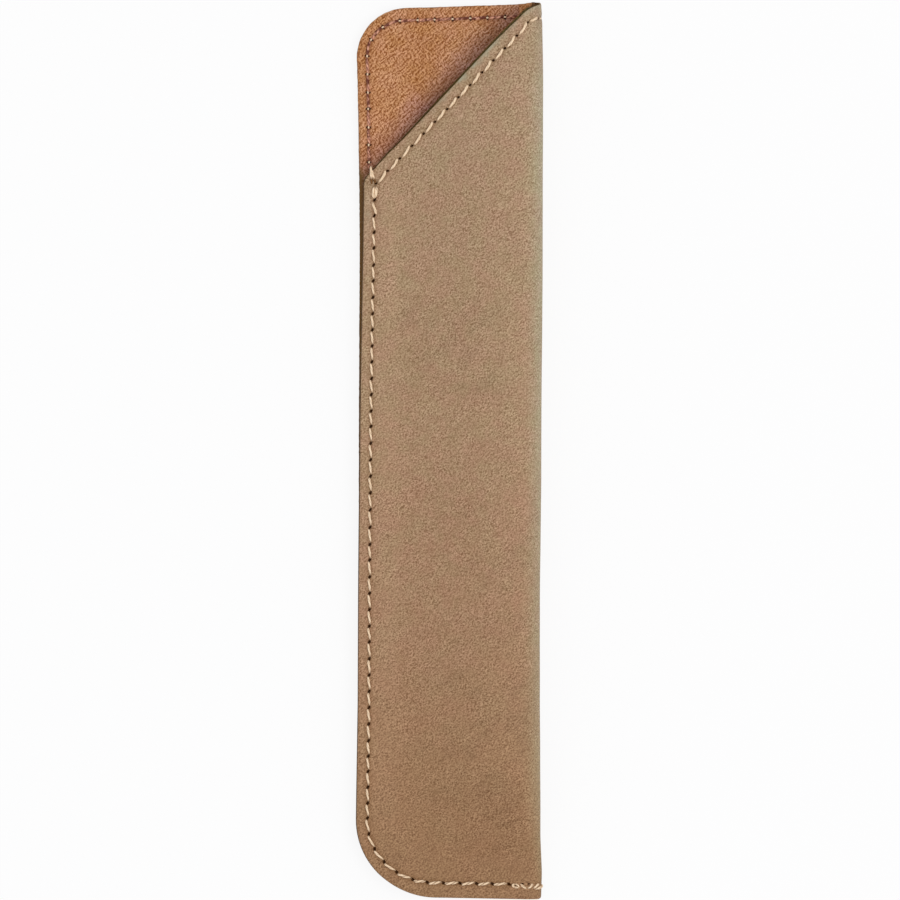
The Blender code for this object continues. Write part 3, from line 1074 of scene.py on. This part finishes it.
def thread_finish(name, deep, shade, lit, stained=0.0):
    """Twisted thread, its fibres painted in a shaded and a lit tone, with painted shade between its plies
    and where it dives into the cloth.
    """
    look = Finish(name, 0.6, 0.3)
    hairs = look.noise(5200.0, 2.0, 0.6, 0.5, look.drawn_out(2.5, 0.6))
    look.base = look.blend(look.spread(hairs, 0.35, 0.65), shade, lit)
    # painted shade between the plies
    look.paint(look.spread(look.value("ply"), 0.25, 0.85, 0.75, 0.0), deep)
    look.paint(look.patches(1250.0, 0.0, stained, 0.44, 0.56, 1.0), deep)
    # painted shade where the thread comes up and where it dives into the cloth
    start = look.spread(look.value("run"), -0.10, 0.22, 1.0, 0.0)
    end = look.spread(look.value("run"), 0.93, 1.0)
    look.paint(look.maths("MAXIMUM", start, end), deep)
    return look.finished(((hairs, 0.00004),))


# The sleeve

# Where the closing row is sewn twice, at the fold: strokes between two places, each by its distance
# from the fold and from the bottom edge, with the stroke's bulge and its size
end_strokes = (
    ((0.00462, 0.00257), (0.00480, 0.00214), -0.00022, 0.85),
    ((0.00462, 0.00259), (0.00391, 0.00213), 0.00016, 0.7),
    ((0.00478, 0.00213), (0.00402, 0.00206), -0.00006, 0.6),
    ((0.00366, 0.00257), (0.00274, 0.00193), 0.0, 0.85),
    ((0.00243, 0.00195), (0.00157, 0.00264), -0.00006, 0.85),
    ((0.00140, 0.00198), (0.00057, 0.00269), 0.0, 0.85),
    ((0.00105, 0.00181), (0.00000, 0.00247), -0.00006, 0.95),
)
end_holes = ((0.00330, 0.00269), (0.00219, 0.00268), (0.00449, 0.00240))

hole_turn = math.radians(32)
seam_oval, rim_oval = (0.00046, 0.00024, hole_turn), (0.00032, 0.00022, hole_turn)
rim_inner_oval = (0.00024, 0.00056, 0.0)
end_oval, torn_oval = (0.00019, 0.00012), (0.00032, 0.00042)
torn_hole = 2               # the closing row's third hole is torn wide
out_depth, in_depth = 0.00070, 0.00034
cover_furrow, lining_furrow = 0.00013, 0.00007
out_pits = Pits(
    1, out_depth, ((seam_front, *seam_oval), (seam_back, *seam_oval), (rim, *rim_oval)),
    [(front_place(*place), *end_oval) for place in end_holes]
    + [(seam_front.at(seam_front.places[torn_hole]), *torn_oval)],
)
in_pits = Pits(-1, in_depth, ((rim, *rim_inner_oval),), last=-1)

cover_sheet = Sheet(
    0.0, cover_thickness, 1, (seam_front, seam_back, rim), out_pits, cover_furrow, cover_cuts, 3
)
cover = cover_sheet.make("leatherette_cover", {
    "fold": painted_fold_sheen(cover_sheet.sites),
    "shine": mouth_highlight_and_rubbing(cover_sheet.sites, cover_sheet.edge),
})

lining_sheet = Sheet(
    lining_start, lining_thickness, -1, (rim,), in_pits, lining_furrow, lining_cuts, 7
)
lining_y = lining_sheet.sites[:, 1]
near_mouth = mouth_nearness(lining_sheet.sites)

# Painted shadow on the suede under the mouth's edge, weaker towards the fold, where the painted shade is
# tinted mauve
lining = lining_sheet.make("suede_lining", {
    "burnt_and_shade": scorched_and_shaded(lining_sheet.sites, lining_sheet.edge),
    "shelter": near_mouth * mix(1.0, shelter_least, rise(lining_y, *shelter_fade)),
    "dusk": near_mouth * rise(lining_y, *dusk_start),
})

needle_tip = 0.00034
side_slant = 0.00019
seam_top = Stitcher(needle_radius, 11)
side_end = -7               # the last stitches, along the bottom, are twisted more
for first, last, style in ((2, side_end, {"size": 0.85}), (side_end, None, {"twisted": 1.0})):
    seam_top.row(seam_front, needle_tip, side_slant, first=first, last=last, turned=True, **style)

# The row's start: two strands over the mouth's edge, two side by side, and one slanted stitch
strand_shift = 0.00074
pair_bow, pair_gap, pair_shift = 0.00023, 0.00005, 0.00010
second_slant = 0.00040
first_hole = seam_front.at(0.0)
strand_u = row_start_u + strand_shift
over_edge = np.array([strand_u, float(top_edge(np.array(strand_u)))])
for start, end, bulge, dive in (
    ((0.00072, -0.00010), (0.00008, 0.00050), 0.00003, 0.0018),
    ((0.00008, 0.00008), (0.00002, -0.00010), 0.00000, 0.0004),
):
    seam_top.stitch(
        bulging(first_hole + start, over_edge + end, bulge),
        lift=0.7, plunges=(-0.00008, dive), thin=0.30, size=0.90, soiled=1.6, stain=0.5,
    )
for side, size in ((-1.0, 0.95), (1.0, 1.35)):
    seam_top.between_holes(
        seam_front, 0, needle_tip,
        lambda t: side * (pair_gap + pair_bow * np.sin(math.pi * t)) - pair_shift,
        lift=0.7, size=size, thin=0.6, stain=0.2,
    )
seam_top.between_holes(seam_front, 1, needle_tip, lambda t: second_slant * (2 * t - 1.0))
for start, end, bulge, size in end_strokes:
    seam_top.stitch(
        bulging(front_place(*start), front_place(*end), bulge),
        plunges=(0.0002, 0.0002), thin=0.25, twisted=0.8, sink=0.0, size=size,
    )
seam_needle = seam_top.make("seam_stitches_front")

seam_under = Stitcher(bobbin_radius, 12)
seam_under.row(seam_back, needle_tip, side_slant, turned=True)
seam_bobbin = seam_under.make("seam_stitches_back")

rim_out = Stitcher(needle_radius, 13)
rim_tip, rim_slant, rim_bow = 0.00030, 0.00024, 0.00018
rim_out.row(rim, rim_tip, rim_slant, rim_bow, twisted=0.45, thin=0.5, size=0.95)
loop_reach = 0.00017
for place in rim.places[3:-1]:
    spots = place + np.linspace(-loop_reach, loop_reach, 9)
    rim_out.stitch(
        rim.at(spots), lining_face, -1, lift=1.3, plunges=(0.0001, 0.0001), thin=0.5, size=0.62,
    )
rim_needle = rim_out.make("rim_stitches_outside")

rim_in = Stitcher(bobbin_radius, 14)
inner_tip, inner_slant = 0.00014, 0.00008
rim_in.row(
    rim, inner_tip, inner_slant, first=3, face=lining_face, out=-1, lift=0.5,
    plunges=(0.0002, 0.0002), thin=0.2, twisted=1.0, size=1.1, soiled=1.5,
)
rim_bobbin = rim_in.make("rim_stitches_inside")

leatherette = leatherette_finish()
suede = suede_finish()
dark_core = core_finish("leatherette_core", srgb(62, 38, 8), srgb(106, 78, 38))
suede_core = core_finish("suede_core", srgb(58, 38, 22), srgb(112, 78, 48))
cream = thread_finish("cream_thread", srgb(114, 76, 36), srgb(234, 204, 166), srgb(252, 226, 192))
mauve = thread_finish(
    "mauve_thread", srgb(94, 40, 24), srgb(192, 126, 98), srgb(238, 180, 150), stained=0.90
)

for piece, node, slot, materials in (
    (cover, "cover", "leatherette", (leatherette, dark_core)),
    (lining, "lining", "suede", (suede, suede_core)),
    (seam_needle, "seam_needle_thread", "cream_thread", (cream,)),
    (seam_bobbin, "seam_bobbin_thread", "mauve_thread", (mauve,)),
    (rim_needle, "rim_needle_thread", "cream_thread", (cream,)),
    (rim_bobbin, "rim_bobbin_thread", "mauve_thread", (mauve,)),
):
    for material in materials:
        piece.data.materials.append(material)
    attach(piece, "root")
    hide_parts(node)

# Floor, light and camera

seen_glow = 0.88            # how much of the floor's look is its own white, and the rest is lit


def white_floor():
    look = Finish("white_floor", 0.9, 0.1)
    look.shader.inputs["Base Color"].default_value = (0.86, 0.86, 0.86, 1.0)
    glow = look.node("Emission", (("Color", (1.0,) * 4),))[0]
    rays = look.node("LightPath")
    seen = look.maths("MAXIMUM", rays["Is Camera Ray"], rays["Is Glossy Ray"])
    seen = look.maths("MAXIMUM", seen, rays["Is Transmission Ray"])
    sockets = ((0, look.times(seen, seen_glow)), (1, look.shader.outputs[0]), (2, glow))
    both = look.node("MixShader", sockets)[0]
    look.fill(look.tree.nodes["Material Output"].inputs["Surface"], both)
    return look.material


bpy.ops.mesh.primitive_plane_add(size=4.0, location=(0.0, 0.0, -0.0001))
floor = bpy.context.object
floor.name = "floor"
floor.data.materials.append(white_floor())


def softbox(name, place, size, power):
    lamp = bpy.data.lights.new(name, "AREA")
    lamp.shape = "DISK"
    lamp.size = size
    lamp.energy = power
    made = add_object(name, lamp)
    made.location = place
    made.rotation_euler = (-Vector(place)).to_track_quat("-Z", "Y").to_euler()


softbox("key_light", (0.40, -0.10, 1.25), 0.8, 6.6)
softbox("fill_light", (-0.5, 0.5, 1.1), 0.9, 1.2)

world = bpy.data.worlds.new("studio")
bpy.context.scene.world = world
world.use_nodes = True
sky = world.node_tree.nodes["Background"].inputs
sky["Color"].default_value = (0.97, 0.96, 1.0, 1.0)
sky["Strength"].default_value = 0.64

camera_x, camera_height = -0.00024, 3.0
lens = bpy.data.cameras.new("camera")
lens.lens = lens.sensor_width * camera_height / photo_width
camera = add_object("camera", lens)
camera.location = (camera_x, 0.0, camera_height)
bpy.context.scene.camera = camera
bpy.context.scene.view_settings.view_transform = "Standard"
